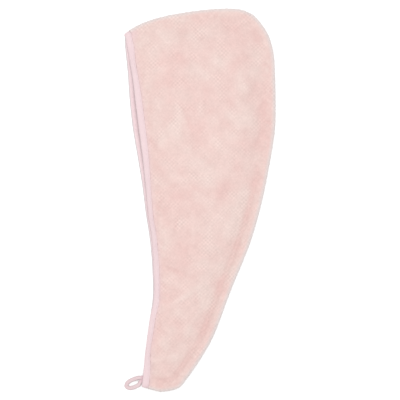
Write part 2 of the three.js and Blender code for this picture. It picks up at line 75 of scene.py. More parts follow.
# %% Camera
CAMERA_HEIGHT = 3.0
PICTURE_WIDTH = 0.6788  # of the table that the square picture takes in
PICTURE_CENTRE = (0.34 * MM, 0.17 * MM)
OUTLINE_HEIGHT = 6 * MM  # the seam that makes the outline lies this far above the table

camera_data = bpy.data.cameras.new("camera")
camera_data.sensor_width = 36
camera_data.lens = camera_data.sensor_width * CAMERA_HEIGHT / PICTURE_WIDTH
camera = bpy.data.objects.new("camera", camera_data)
camera.location = (*PICTURE_CENTRE, OUTLINE_HEIGHT + CAMERA_HEIGHT)
bpy.context.scene.collection.objects.link(camera)
bpy.context.scene.camera = camera
print("Lens in millimetres:", round(camera_data.lens))

# %% [markdown]
# A material is a small network of nodes. Two helper classes keep it readable. Surface holds one material
# and has one method that makes any node. Number wraps a node's output, so that sums and products are
# written as sums and products and add their Math nodes by themselves, also when the plain number comes
# first.


# %% Helpers for materials
class Number:
    """A value that varies over a surface: one output of a node."""

    def __init__(self, surface, socket):
        self.surface = surface
        self.socket = socket

    def math(self, operation, *values):
        return self.surface.node("ShaderNodeMath", {"operation": operation}, dict(enumerate(values)))

    def __add__(self, other):
        return self.math("ADD", self, other)

    def __radd__(self, other):
        return self.math("ADD", other, self)

    def __sub__(self, other):
        return self.math("SUBTRACT", self, other)

    def __rsub__(self, other):
        return self.math("SUBTRACT", other, self)

    def __mul__(self, other):
        return self.math("MULTIPLY", self, other)

    def __rmul__(self, other):
        return self.math("MULTIPLY", other, self)

    def cos(self):
        return self.math("COSINE", self)

    def above(self, floor):
        return self.math("MAXIMUM", self - floor, 0.0)


class Surface:
    """One material. node() makes a node of any type and returns one of its outputs."""

    def __init__(self, name):
        self.material = bpy.data.materials.new(name)
        self.material.use_nodes = True
        self.tree = self.material.node_tree
        self.tree.nodes.clear()

    def node(self, kind, settings=None, inputs=None, output=0):
        made = self.tree.nodes.new(kind)
        for key, value in (settings or {}).items():
            setattr(made, key, value)
        for key, value in (inputs or {}).items():
            if isinstance(value, Number):
                self.tree.links.new(value.socket, made.inputs[key])
            else:
                made.inputs[key].default_value = value
        return Number(self, made.outputs[output])

    def attribute(self, name):
        """A value written at the corners of the mesh."""
        return self.node("ShaderNodeAttribute", {"attribute_name": name}, output=2)

    def across_and_along(self, kind):
        """The first two coordinates of a kind, Object or UV."""
        place = self.node("ShaderNodeTexCoord", output=kind)
        parts = self.node("ShaderNodeSeparateXYZ", {}, {0: place}).socket.node
        return Number(self, parts.outputs["X"]), Number(self, parts.outputs["Y"])

    def noise(self, size, detail=2.0):
        """Soft random patches about this size, from 0 to 1."""
        place = self.node("ShaderNodeTexCoord", output="Object")
        return self.node("ShaderNodeTexNoise", {}, {"Vector": place, "Scale": 1 / size, "Detail": detail})

    def between(self, share, first, second):
        """A colour between two others, of which the first may vary too."""
        start = first if isinstance(first, Number) else (*first, 1)
        return self.node("ShaderNodeMix", {"data_type": "RGBA"}, {0: share, 6: start, 7: (*second, 1)}, 2)

    def shaded(self, colour, share):
        """A colour made lighter or darker by a share of itself."""
        return self.node("ShaderNodeVectorMath", {"operation": "SCALE"}, {0: colour, "Scale": share})

    def bump(self, height, depth, strength):
        return self.node("ShaderNodeBump", {}, {"Height": height, "Distance": depth, "Strength": strength})

    def finish(self, **sockets):
        """Ends the network. An underscore in a name stands for a space."""
        named = {key.replace("_", " "): value for key, value in sockets.items()}
        shader = self.node("ShaderNodeBsdfPrincipled", {}, named)
        end = self.tree.nodes.new("ShaderNodeOutputMaterial")
        self.tree.links.new(shader.socket, end.inputs["Surface"])
        return self.material


def plain_finish(name, colour, roughness, specular):
    return Surface(name).finish(Base_Color=(*colour, 1), Roughness=roughness, Specular_IOR_Level=specular)


print("Helpers ready")

# %% [markdown]
# The table is a plain white sheet, lit so evenly that it comes out white and leaves only a faint shade
# where the cloth meets it. The light is one big soft panel overhead, a little up and to the left, and a
# pale sky all round that fills the shadows.

# %% Table and light
TABLE_SIZE = 8.0
TABLE_GAP = 0.3 * MM  # below the cloth, so that the two surfaces never coincide
TABLE_WHITE = (0.93, 0.93, 0.93)

table_shape = bmesh.new()
bmesh.ops.create_grid(table_shape, x_segments=1, y_segments=1, size=TABLE_SIZE / 2)
bmesh.ops.translate(table_shape, verts=table_shape.verts, vec=(0, 0, -TABLE_GAP))
table_mesh = bpy.data.meshes.new("table")
table_shape.to_mesh(table_mesh)
table_shape.free()
table = bpy.data.objects.new("table", table_mesh)
bpy.context.scene.collection.objects.link(table)

table_mesh.materials.append(plain_finish("white_table", TABLE_WHITE, roughness=0.9, specular=0.0))

SKY_STRENGTH = 0.88
PANEL_LIGHT_POWER = 40
PANEL_LIGHT_SIZE = 1.6
PANEL_LIGHT_PLACE = (-0.12, 0.25, 2.5)

world = bpy.data.worlds.new("sky")
world.use_nodes = True
sky = world.node_tree.nodes["Background"]
sky.inputs["Color"].default_value = (1, 1, 1, 1)
sky.inputs["Strength"].default_value = SKY_STRENGTH
bpy.context.scene.world = world
bpy.context.scene.view_settings.view_transform = "Standard"

panel_light = bpy.data.lights.new("panel_light", "AREA")
panel_light.energy = PANEL_LIGHT_POWER
panel_light.size = PANEL_LIGHT_SIZE
light_object = bpy.data.objects.new("panel_light", panel_light)
light_object.location = PANEL_LIGHT_PLACE
light_object.rotation_euler = Vector(PANEL_LIGHT_PLACE).to_track_quat("Z", "Y").to_euler()
bpy.context.scene.collection.objects.link(light_object)
print("Light at", PANEL_LIGHT_PLACE)

# %% [markdown]
# The cloth is a microfibre plush, knitted in a fine diamond lattice of soft tufts. Its colour drifts
# between a rosier and a creamier pink, as pile does where it leans one way or the other. Light and shade
# are painted over it: a ridge is painted creamier and lighter and a hollow rosier and darker, a painted
# shade, and each tuft is painted a little lighter than the hollow beside it. In some patches the tips of
# the tufts have painted highlights, with painted shade between them. Round the turned edge the pile lets
# the table's light through, and that light is painted in: the outline is painted paler and greyer. Beside
# the tape the pile takes on a cooler pink. Three attributes of the mesh, set further down, say how near the
# edge is, how near the tape is and how high each corner stands. The relief of the tufts is modelled. The
# pile on them, about a millimetre fine, is a bump, and a sheen stands for the light that its tips scatter.

# %% Plush finish
TUFT_PITCH = 6.8 * MM  # along X and along Y between tufts in line. Diagonal neighbours lie closer
PILE_SIZE = 1.1 * MM
SPECKLE_SIZE = 3.4 * MM
BLOTCH_SIZE = 10 * MM
PATCH_SIZE = 45 * MM
GLINT_PATCH_SIZE = 24 * MM
ROSY = (0.614, 0.431, 0.405)
CREAMY = (0.622, 0.492, 0.458)
EDGE_PAINTED_LIGHT = (0.597, 0.526, 0.511)
TAPE_SIDE_PINK = (0.606, 0.450, 0.454)
PATCH_TINT = 2.2  # of the drift between the two pinks
RELIEF_SHADE_TINT = 0.35  # painted shade: by which a ridge is painted creamier and a hollow rosier
PILE_SHADE, SPECKLE_SHADE, BLOTCH_SHADE = 0.08, 0.16, 0.10  # shares of the light, like the next two
TUFT_SHADE, TUFT_SHADE_FLOOR = 0.04, 0.2  # painted light on the tufts and painted shade in their hollows; where a blotch is below the floor, the hollows are painted lighter
# painted light on the ridges and painted shade in the hollows, as a share of the light
RELIEF_SHADE = 0.03
TIP_GLINT = 0.75  # painted highlight on the topmost pile of some tufts, and painted shade between them
GLINT_FLOOR = 0.47  # of the glint patches
GLINT_BASE = 0.2  # of a glint, to which the speckle adds


def tuft_lattice(surface):
    """1 on a tuft and -1 in a hollow."""
    across, along = surface.across_and_along("Object")
    turn = 2 * math.pi / TUFT_PITCH
    return (across * turn).cos() * (along * turn).cos()


def plush_finish():
    plush = Surface("plush")
    patches = plush.noise(PATCH_SIZE, 3.0)
    pile = plush.noise(PILE_SIZE, 3.0)
    speckle = plush.noise(SPECKLE_SIZE, 1.0)
    blotches = plush.noise(BLOTCH_SIZE, 1.0)
    relief = plush.attribute("relief")
    # the relief tint is a painted shade: creamier on a ridge, rosier in a hollow
    colour = plush.between((patches - 0.5) * PATCH_TINT + relief * RELIEF_SHADE_TINT + 0.5, ROSY, CREAMY)
    colour = plush.between(plush.attribute("beside_tape"), colour, TAPE_SIDE_PINK)
    # painted light: the outline is painted paler and greyer
    colour = plush.between(plush.attribute("edge"), colour, EDGE_PAINTED_LIGHT)
    light = 1 + (pile - 0.5) * PILE_SHADE + (speckle - 0.5) * SPECKLE_SHADE + (blotches - 0.5) * BLOTCH_SHADE
    lattice = tuft_lattice(plush)
    # painted light on the tufts and ridges, painted shade in their hollows
    light = light + lattice * (blotches - TUFT_SHADE_FLOOR) * TUFT_SHADE + relief * RELIEF_SHADE
    # painted highlights on the tips of the tufts in some patches
    glints = plush.noise(GLINT_PATCH_SIZE, 1.0).above(GLINT_FLOOR) * (speckle + GLINT_BASE)
    light = light + lattice * lattice * lattice * glints * TIP_GLINT
    return plush.finish(
        Base_Color=plush.shaded(colour, light),
        Roughness=0.9,
        Specular_IOR_Level=0.15,
        Sheen_Weight=0.25,
        Sheen_Roughness=0.55,
        Sheen_Tint=(1.0, 0.93, 0.9, 1),
        Normal=plush.bump(pile, 0.6 * MM, 0.8),
    )


plush_material = plush_finish()
print("Plush finish ready")

# %% [markdown]
# Each panel starts from a copy of its CAD solid, so its outline, thickness and main folds are the frame's
# own. The solid has few, long faces. A subdivision surface rounds them, and a voxel remesh then covers the
# rounded cloth with even squares that line up with X and Y. Their size is a quarter of the tuft pitch, so
# every tuft and every hollow falls on a corner of the mesh, and the relief comes out regular.

# %% Even cloth from a CAD panel
VOXEL = TUFT_PITCH / 4
MERGE = MM / 1000  # corners nearer than this are one
QUAD_TURN = math.radians(40)  # two triangles that turn less than this may be one square
ROUNDING = 2  # levels of subdivision


def merged_copy(node):
    """The node's shape as joined faces. The node itself stays as it is."""
    shape = bmesh.new()
    shape.from_mesh(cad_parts[node].data)
    bmesh.ops.remove_doubles(shape, verts=shape.verts, dist=MERGE)
    bmesh.ops.join_triangles(
        shape, faces=shape.faces, angle_face_threshold=QUAD_TURN, angle_shape_threshold=math.pi,
        topology_influence=1)
    return shape


def new_piece(name, shape):
    """A new object at the origin from a finished bmesh."""
    mesh = bpy.data.meshes.new(name)
    shape.to_mesh(mesh)
    shape.free()
    piece = bpy.data.objects.new(name, mesh)
    bpy.context.scene.collection.objects.link(piece)
    return piece


def keep_modifiers(piece):
    """Puts the result of a piece's modifiers in its mesh and clears them."""
    result = bpy.data.meshes.new_from_object(piece.evaluated_get(bpy.context.evaluated_depsgraph_get()))
    piece.modifiers.clear()
    piece.data = result


def even_cloth(node):
    piece = new_piece(node.replace("_", "_plush_", 1), merged_copy(node))
    rounded = piece.modifiers.new("rounded", "SUBSURF")
    rounded.levels = rounded.render_levels = ROUNDING
    even = piece.modifiers.new("even", "REMESH")
    even.mode = "VOXEL"
    even.voxel_size = VOXEL
    even.use_smooth_shade = True
    keep_modifiers(piece)
    return piece


upper = even_cloth("upper_panel")
lower = even_cloth("lower_panel")
print("Faces:", len(upper.data.polygons), "and", len(lower.data.polygons))

# %% [markdown]
# The sculpting that follows moves all corners of a mesh at once, as arrays. It needs to know, at each
# corner, which way the surface faces, how far the binding is and how far the seam is. The binding's
# distance comes from a search tree over the CAD node's faces, and the seam's from the corners that face
# sideways.

# %% Measures at each corner
SIDEWAYS = 0.35  # a corner whose normal rises less than this faces sideways


def corners_of(piece):
    points = np.empty(len(piece.data.vertices) * 3, np.float32)
    piece.data.vertices.foreach_get("co", points)
    return points.reshape(-1, 3).astype(float)


def set_corners(piece, points):
    piece.data.vertices.foreach_set("co", points.astype(np.float32).ravel())
    piece.data.update()


def normals_of(piece):
    normals = np.empty(len(piece.data.vertices) * 3, np.float32)
    piece.data.vertex_normals.foreach_get("vector", normals)
    return normals.reshape(-1, 3).astype(float)


def distance_to_node(points, node):
    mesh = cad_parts[node].data
    tree = BVHTree.FromPolygons([v.co for v in mesh.vertices], [p.vertices for p in mesh.polygons])
    return np.array([tree.find_nearest(Vector(p))[3] for p in points])


def distance_to_seam(points, normals, from_binding):
    """From each corner to the nearest one that faces sideways and isn't at the binding, in plan."""
    edge = points[(np.abs(normals[:, 2]) < SIDEWAYS) & (from_binding > 2 * VOXEL)]
    tree = KDTree(len(edge))
    for i, point in enumerate(edge):
        tree.insert((point[0], point[1], 0), i)
    tree.balance()
    return np.array([tree.find((p[0], p[1], 0))[2] for p in points])


def ramp(values, start, end):
    """0 before start and 1 after end, with a soft turn at both."""
    share = np.clip((values - start) / (end - start), 0, 1)
    return share * share * (3 - 2 * share)


def band(values, rise, fall):
    """1 between two ramps and 0 outside them."""
    return ramp(values, *rise) * (1 - ramp(values, *fall))


class Measures:
    """What the sculpting knows at each corner of a panel."""

    def __init__(self, piece):
        self.points = corners_of(piece)
        self.normals = normals_of(piece)
        self.binding = distance_to_node(self.points, "edge_binding")
        self.seam = distance_to_seam(self.points, self.normals, self.binding)


upper_measures = Measures(upper)
lower_measures = Measures(lower)
print("Furthest from the seam in millimetres:", round(upper_measures.seam.max() / MM))

# %% [markdown]
# Plush never lies quite flat. On top of the CAD's main folds come the smaller ones that the photograph
# shows, each a soft oval dent or ridge, and a random swell that gives the cloth its mottled look. The swell
# is a sum of slow waves in many directions with a fixed seed, so it is the same in every run. Where the
# seam allowance ends inside, the cloth dips in a valley with a soft bank beyond it. Both follow the
# outline and grow weaker towards the crown. The two faces of the wall move together, so it keeps its
# thickness, and the folds fade out at the binding and the seam. The lower panel lies on the table and only
# swells up. Between the mouth and the tail the near edge is set back a little from the far one, which then
# shows.

# %% Small folds and swell
# across and along are shares of the turban's width and length, and turn is in degrees from +X.
# long and wide are how far the fold reaches from its middle and high is its height, in millimetres.
SMALL_FOLDS = [
    # across, along, turn, long, wide, high
    (0.37, 0.94, -50, 12, 8, -1.4),
    (0.67, 0.96, -80, 12, 7, -1.0),
    (0.86, 0.94, -60, 17, 7, -1.2),
    (0.52, 0.92, 0, 9, 8, -0.7),
    (0.38, 0.87, -50, 10, 7, -0.7),
    (0.82, 0.87, -75, 12, 7, -1.0),
    (0.86, 0.79, 70, 16, 6, -1.3),
    (0.91, 0.74, 90, 9, 6, -0.8),
    (0.17, 0.74, 70, 12, 6, -1.2),
    (0.71, 0.75, -50, 16, 6, -1.1),
    (0.415, 0.715, -68, 24, 3.4, -1.2),
    (0.52, 0.613, -42, 24, 6, -1.1),
    (0.89, 0.657, 75, 18, 6, -1.3),
    (0.24, 0.585, -60, 16, 9, -0.9),
    (0.66, 0.525, 70, 20, 9, -1.5),
    (0.35, 0.45, 80, 32, 4, -1.0),
    (0.26, 0.47, 45, 10, 5, -0.6),
    (0.24, 0.495, 61, 17, 3.6, -0.9),
    (0.335, 0.538, 20, 15, 3.6, -0.8),
    (0.45, 0.535, -24, 16, 3.6, -0.7),
    (0.67, 0.37, -45, 10, 8, -0.9),
    (0.48, 0.385, 70, 12, 6, -0.7),
    (0.34, 0.315, -22, 28, 4, -1.5),
    (0.475, 0.25, -85, 15, 5, -1.0),
    (0.27, 0.92, -50, 14, 7, 1.2),
    (0.25, 0.84, 5, 20, 5, 1.0),
    (0.60, 0.866, -45, 8, 6, 0.6),
    (0.77, 0.82, -85, 20, 6, 0.9),
    (0.35, 0.745, -40, 12, 5, 0.7),
    (0.50, 0.74, 88, 15, 5, 0.9),
    (0.25, 0.64, 90, 12, 7, 1.2),
    (0.57, 0.65, 60, 14, 9, 1.1),
    (0.37, 0.55, 15, 22, 6, 0.7),
    (0.25, 0.427, -80, 18, 7, 1.1),
    (0.46, 0.417, 88, 24, 6, 1.1),
    (0.67, 0.417, 70, 18, 7, 0.9),
    (0.36, 0.277, -32, 28, 5, 1.0),
    (0.36, 0.24, 30, 26, 5, 1.5),
    (0.48, 0.197, 50, 16, 5, 0.9),
    (0.42, 0.15, 20, 14, 6, 0.7),
    (0.27, 0.088, 3, 28, 6, 1.0),
]
SWELL_HEIGHT = 0.28 * MM
SWELL_LENGTHS = (22 * MM, 60 * MM)
SWELL_WAVES = 40
SEAM_FADE = (6 * MM, 20 * MM)  # from the seam
BINDING_FADE = (0, 10 * MM)
VALLEY_INSET, VALLEY_WIDTH, VALLEY_DEPTH = 18.5 * MM, 4.3 * MM, 1.9 * MM
BANK_INSET, BANK_WIDTH, BANK_HEIGHT = 37 * MM, 9 * MM, 0.7 * MM
VALLEY_ENDS = (0.48, 0.65)  # shares of the length between which it fades towards the crown
VALLEY_LEFT = 0.2  # share of it that goes on round the crown
SET_BACK = 2.2 * MM
SET_BACK_STARTS = (0.19, 0.24)  # shares of the length, from the tail
SET_BACK_ENDS = (0.40, 0.46)
SET_BACK_ABOVE = 5.8 * MM  # the far edge lies below this height
SET_BACK_REACH = 35 * MM  # inward from the binding


def share_of_length(points):
    """0 at the tail and 1 at the crown."""
    return (points[..., 1] - cad_low.y) / (cad_high - cad_low).y


def dents(points):
    """The summed height of the small folds at each corner."""
    size = cad_high - cad_low
    height = np.zeros(len(points))
    for across, along, turn, long, wide, high in SMALL_FOLDS:
        x = points[:, 0] - cad_low.x - across * size.x
        y = points[:, 1] - cad_low.y - along * size.y
        turn = math.radians(turn)
        down = (x * math.cos(turn) + y * math.sin(turn)) / (long * MM)
        over = (y * math.cos(turn) - x * math.sin(turn)) / (wide * MM)
        height += high * MM * np.exp(-down ** 2 - over ** 2)
    return height


def swell(points, seed, lengths):
    """A random, even surface of about -1 to 1 whose waves have lengths between the two given."""
    draws = np.random.default_rng(seed)
    turn, phase = draws.uniform(0, 2 * math.pi, (2, SWELL_WAVES))
    pace = 2 * math.pi / draws.uniform(*lengths, SWELL_WAVES)
    slopes = np.stack([np.cos(turn) * pace, np.sin(turn) * pace])
    return np.cos(points[:, :2] @ slopes + phase).sum(axis=1) * math.sqrt(2 / SWELL_WAVES)


def valley(at):
    """The groove inside the seam and the soft bank beyond it."""
    strength = 1 - (1 - VALLEY_LEFT) * ramp(share_of_length(at.points), *VALLEY_ENDS)
    groove = VALLEY_DEPTH * np.exp(-((at.seam - VALLEY_INSET) / VALLEY_WIDTH) ** 2)
    bank = BANK_HEIGHT * np.exp(-((at.seam - BANK_INSET) / BANK_WIDTH) ** 2)
    return strength * (bank - groove)


def raise_upper(at):
    """Raises the folds of the upper panel and returns their height at each corner."""
    relief = swell(at.points, 11, SWELL_LENGTHS) * SWELL_HEIGHT + dents(at.points)
    relief *= ramp(at.seam, *SEAM_FADE)
    relief = (relief + valley(at)) * ramp(at.binding, *BINDING_FADE)
    at.points[:, 2] += relief
    return relief


def raise_lower(at):
    """Raises the lower panel here and there. It lies on the table, so nothing goes down."""
    relief = np.maximum((1 + swell(at.points, 12, SWELL_LENGTHS)) * SWELL_HEIGHT, 0)
    relief *= ramp(at.seam, *SEAM_FADE) * ramp(at.binding, *BINDING_FADE)
    at.points[:, 2] += relief
    return relief


def set_back(points):
    """How far in from the far edge the near one lies at each point, as a move along X."""
    over = band(share_of_length(points), SET_BACK_STARTS, SET_BACK_ENDS)
    return SET_BACK * over * (points[..., 2] > SET_BACK_ABOVE)


upper_relief = raise_upper(upper_measures)
lower_relief = raise_lower(lower_measures)
upper_measures.points[:, 0] += (
    set_back(upper_measures.points) * (1 - ramp(upper_measures.binding, 0, SET_BACK_REACH)))
print("Small folds:", len(SMALL_FOLDS), "from", round(upper_relief.min() / MM, 1), "to",
      round(upper_relief.max() / MM, 1), "millimetres")

# %% [markdown]
# The seam is sewn inside out and turned, which leaves the edge a soft roll, gathered a little by its
# stitches. Small puckers along the roll and beside the binding show that. Last come the tufts, which stand
# out along the surface's own normal and rise from nothing beside the tape. The pile also pushes the outline
# out by a little over half a millimetre, which makes good what the rounding took off, and swells up beside
# the tape. Three attributes go with each corner for the plush finish: how near the turned edge it is, how
# near the tape it is and how high it stands.

# %% Puckers and tufts
PUCKER_HEIGHT = 0.28 * MM
PUCKER_LENGTHS = (9 * MM, 17 * MM)
PUCKERS_BY_SEAM = ((1 * MM, 6 * MM), (12 * MM, 24 * MM))  # where they rise and where they fall
PUCKERS_BY_TAPE = ((0, 4 * MM), (8 * MM, 22 * MM))
TUFT_HEIGHT = 0.22 * MM
TUFT_PATCHES = (25 * MM, 60 * MM)  # over which the tufts stand higher or lower
TUFT_VARIES = 0.5  # by this share
LUMP_HEIGHT = 0.07 * MM
LUMP_LENGTHS = (5 * MM, 11 * MM)
OUTLINE_PILE = 0.65 * MM
TAPE_PILE, TAPE_PILE_WIDTH = 0.9 * MM, 5 * MM  # beside the tape
RELIEF_FULL = 1.5 * MM  # a height that counts as a whole ridge or hollow
EDGE_WIDTH = 7.5 * MM  # of the painted light along the outline
TAPE_TINT, TAPE_TINT_WIDTH = 0.6, 9 * MM  # of the cooler pink beside the tape
NAPE_TINT = (0.912, 0.93)  # shares of the length between which it grows to its full colour, twice as wide
TOUCH, CONTACT = 0.35 * MM, 1.2 * MM  # from the tape, between which the tufts rise


def pucker(at, seed):
    """Gathers the cloth along the seam and beside the binding, and returns its height at each corner."""
    share = np.maximum(band(at.seam, *PUCKERS_BY_SEAM), band(at.binding, *PUCKERS_BY_TAPE))
    relief = swell(at.points, seed, PUCKER_LENGTHS) * PUCKER_HEIGHT * share
    at.points[:, 2] += relief
    return relief


def tufts(at, seed):
    """Raises the tufts and the pile along the normals."""
    turn = 2 * math.pi / TUFT_PITCH
    shift = VOXEL / 2  # the corners of the even squares lie half a square off the origin
    lattice = np.cos((at.points[:, 0] - shift) * turn) * np.cos((at.points[:, 1] - shift) * turn)
    stand = TUFT_HEIGHT * (1 + TUFT_VARIES * swell(at.points, seed, TUFT_PATCHES))
    lumps = LUMP_HEIGHT * swell(at.points, seed + 1, LUMP_LENGTHS)
    sideways = 1 - at.normals[:, 2] ** 2
    out = (stand * lattice + lumps + OUTLINE_PILE * sideways) * ramp(at.binding, TOUCH, CONTACT)
    beside = band(at.binding, (TOUCH, 2 * TOUCH), (CONTACT, TAPE_PILE_WIDTH))
    out += TAPE_PILE * np.abs(at.normals[:, 2]) * beside
    at.points += at.normals * out[:, None]


def mark(piece, name, values):
    """Writes a value at each corner, where a material can read it."""
    piece.data.attributes.new(name, "FLOAT", "POINT").data.foreach_set("value", values.astype(np.float32))


for piece, at, relief, seed in (
        (upper, upper_measures, upper_relief, 21), (lower, lower_measures, lower_relief, 22)):
    relief = relief + pucker(at, seed)
    tufts(at, seed + 10)
    # how near the turned edge, where the plush finish paints light
    mark(piece, "edge", 1 - ramp(at.seam, 0, EDGE_WIDTH))
    nape = ramp(share_of_length(at.points), *NAPE_TINT)
    tint = (TAPE_TINT + (1 - TAPE_TINT) * nape) * (1 - ramp(at.binding, 0, TAPE_TINT_WIDTH * (1 + nape)))
    mark(piece, "beside_tape", tint)
    # the height, from which the plush finish paints light on ridges and shade in hollows
    mark(piece, "relief", np.clip(relief / RELIEF_FULL, -1, 1))
    at.points[:, 2] = np.maximum(at.points[:, 2], 0)  # pressed flat on the table
    set_corners(piece, at.points)
    piece.data.materials.append(plush_material)
    piece.data.polygons.foreach_set("material_index", np.zeros(len(piece.data.polygons), np.int32))

for piece, node in ((upper, "upper_panel"), (lower, "lower_panel")):
    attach(piece, "root")
    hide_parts(node)
print("Panels ready")

# %% [markdown]
# The whole open edge is bound with one folded knit tape, and the loop at the tail is a shorter, rolled one.
# The CAD solid of each is a tube of squares: sections of corners, one after another. Reading those sections
# back gives the line that the tape follows, which way it faces and how wide it is, without repeating a
# single size. At a corner where four edges meet, an edge carries straight on into the one that shares no
# face with it.


# %% Reading the sections of a tape
def join_halves(shape):
    """Joins the squares that are still in halves, those in a tight bend. The cut is their longest edge."""
    while cuts := [e for e in shape.edges if all(len(face.verts) == 3 for face in e.link_faces)]:
        longest = max(cuts, key=lambda edge: edge.calc_length())
        bmesh.ops.dissolve_edges(shape, edges=[longest], use_verts=False)


def straight_on(edge, corner):
    beside = set(edge.link_faces)
    return next(e for e in corner.link_edges if e != edge and not beside & set(e.link_faces))


def ring_from(corner, edge, around):
    """The corners met by walking straight on, if the walk closes after this many."""
    ring = [corner]
    while len(corner.link_edges) == 4 and len(ring) <= around:
        corner = edge.other_vert(corner)
        if corner == ring[0]:
            return ring if len(ring) == around else None
        ring.append(corner)
        if len(corner.link_edges) == 4:
            edge = straight_on(edge, corner)
    return None


def next_ring(ring, rail):
    """The ring beyond this one. rail is the edge that leads to it from the ring's first corner."""
    ahead = []
    onward = rail
    for here, there in zip(ring, ring[1:] + ring[:1]):
        ahead.append(onward.other_vert(here))
        face = next(f for f in onward.link_faces if there in f.verts)
        onward = next(e for e in face.edges if there in e.verts and here not in e.verts)
    return ahead, rail


def sections(node, around):
    """The node's sections in order, as an array of stations, corners and coordinates."""
    shape = merged_copy(node)
    join_halves(shape)
    ring = next(
        found
        for corner in shape.verts
        for edge in corner.link_edges
        if (found := ring_from(corner, edge, around)))
    in_ring = set(ring)
    rails = [e for e in ring[0].link_edges if e.other_vert(ring[0]) not in in_ring]
    halves = []
    for rail in rails:
        rings, last = [], ring
        while True:
            ahead, rail = next_ring(last, rail)
            if ahead[0] == ring[0]:
                break
            rings.append(ahead)
            if any(len(corner.link_edges) != 4 for corner in ahead):
                break
            rail = straight_on(rail, ahead[0])
            last = ahead
        halves.append(rings)
        if ahead[0] == ring[0]:
            break
    rings = (halves[1][::-1] if len(halves) > 1 else []) + [ring] + halves[0]
    points = np.array([[corner.co[:] for corner in found] for found in rings])
    shape.free()
    return points


def unit(vectors):
    return vectors / np.linalg.norm(vectors, axis=-1, keepdims=True)


def along_of(line, closed):
    """The distance along a line of points to each of them, and its whole length."""
    steps = np.linalg.norm(np.roll(line, -1, axis=0) - line, axis=1)
    if not closed:
        steps = steps[:-1]
    distances = np.concatenate([[0], np.cumsum(steps)])
    return (distances[:-1], distances[-1]) if closed else (distances, distances[-1])


def resampled(values, distances, total, count, closed):
    """Values given at distances along a line, carried smoothly to even steps."""
    if closed:
        reach = 3
        distances = np.concatenate([distances[-reach:] - total, distances, distances[:reach + 1] + total])
        values = np.concatenate([values[-reach:], values, values[:reach + 1]])
    slopes = np.gradient(values, distances, axis=0)
    wanted = np.linspace(0, total, count, endpoint=not closed)
    span = np.clip(np.searchsorted(distances, wanted, side="right") - 1, 0, len(distances) - 2)
    step = (distances[span + 1] - distances[span])[:, None]
    share = (wanted[:, None] - distances[span][:, None]) / step
    start, end = values[span], values[span + 1]
    leave, arrive = slopes[span] * step, slopes[span + 1] * step
    bend = share * (1 - share)
    smooth = share * share * (3 - 2 * share)
    return start * (1 - smooth) + end * smooth + bend * ((1 - share) * leave - share * arrive)


BINDING_CORNERS = 11
LOOP_CORNERS = 10
binding_sections = sections("edge_binding", BINDING_CORNERS)
loop_sections = sections("hanging_loop", LOOP_CORNERS)
print("Sections of the binding and the loop:", len(binding_sections), len(loop_sections))

# %% [markdown]
# In the binding's section the fold is the round end, where four short edges follow each other. From it come
# the tape's own directions at every station: inward across the cloth, and out, square to it. The real tape
# is about a millimetre thick and puffs up a little between its fold and the stitching that holds it. So the
# new piece is a strip bent round the fold, with a groove along the stitches, and given its thickness by a
# Solidify modifier. The strip starts as a flat grid whose ends are joined. Where the solid's fold steps
# sideways at one section, the strip runs smoothly past it.

# %% Binding
TAPE = 1.0 * MM
TAPE_STEP = 1.1 * MM  # along the tape, between rows of its mesh
SIDE_STEPS = 9  # across each side of the tape
FOLD_STEPS = 7  # round its fold
STITCH_INSET = 2.2 * MM  # from the tape's edge to its stitching
GROOVE_DEPTH, GROOVE_WIDTH = 0.35 * MM, 1.1 * MM
LIP_DROP, LIP_WIDTH = 0.3 * MM, 1.2 * MM  # by which the tape's edge sinks in the pile
PUFF = 0.30 * MM
JOG = 0.5 * MM  # a step sideways bigger than this is smoothed
TAPE_PUCKER = 0.16 * MM
TAPE_PUCKER_LENGTHS = (7 * MM, 15 * MM)
TAPE_PUCKER_WAVES = 24


def fold_frame(rings):
    """Fold points, directions inward and out at each station, and half the folded thickness."""
    steps = np.linalg.norm(np.roll(rings, -1, axis=1) - rings, axis=2).mean(axis=0)
    four = sum(np.roll(steps, -shift) for shift in (-2, -1, 0, 1))
    fold = int(np.argmin(four))
    count = rings.shape[1]
    apex, first, second = rings[:, fold], rings[:, (fold + 2) % count], rings[:, fold - 2]
    inward = unit((first + second) / 2 - apex)
    out = unit(first - second)
    if out[np.argmax(apex[:, 2]), 2] < 0:
        out = -out
    return apex, inward, out, np.linalg.norm(first - second, axis=1).mean() / 2


def strip(name, rows, closed):
    """A sheet through rows of points, with a UV map from 0 to 1. A closed one joins its last row to its
    first. Where each row comes back to its own start the sheet becomes a tube, and its ends are filled."""
    if closed:
        rows = np.concatenate([rows, rows[:1]])
    shape = bmesh.new()
    shape.loops.layers.uv.new("UVMap")
    bmesh.ops.create_grid(
        shape, x_segments=rows.shape[1] - 1, y_segments=rows.shape[0] - 1, size=0.5, calc_uvs=True)
    for corner, point in zip(shape.verts, rows.reshape(-1, 3)):
        corner.co = point
    bmesh.ops.remove_doubles(shape, verts=shape.verts, dist=MERGE)
    if np.allclose(rows[:, 0], rows[:, -1]):
        bmesh.ops.holes_fill(shape, edges=[edge for edge in shape.edges if edge.is_boundary])
    bmesh.ops.recalc_face_normals(shape, faces=shape.faces)
    for face in shape.faces:
        face.smooth = True
    return new_piece(name, shape)


def without_jogs(line):
    """The closed line, where a point that lies further in than both its neighbours is put between them."""
    before, after = np.roll(line[:, 0], 1), np.roll(line[:, 0], -1)
    jogs = line[:, 0] > np.maximum(before, after) + JOG
    return np.column_stack([np.where(jogs, (before + after) / 2, line[:, 0]), line[:, 1:]])


solid_apex, inward, out, half_thickness = fold_frame(binding_sections)
binding_width = max(
    float(((ring - point) @ direction).max())
    for ring, point, direction in zip(binding_sections, solid_apex, inward))
apex = without_jogs(solid_apex)
distances, binding_length = along_of(apex, True)
binding_count = round(binding_length / TAPE_STEP)
values = np.concatenate([apex, inward, out], axis=1)
frames = resampled(values, distances, binding_length, binding_count, True)
apex, inward, out = frames[:, :3], unit(frames[:, 3:6]), unit(frames[:, 6:])
apex[:, 0] += set_back(apex)


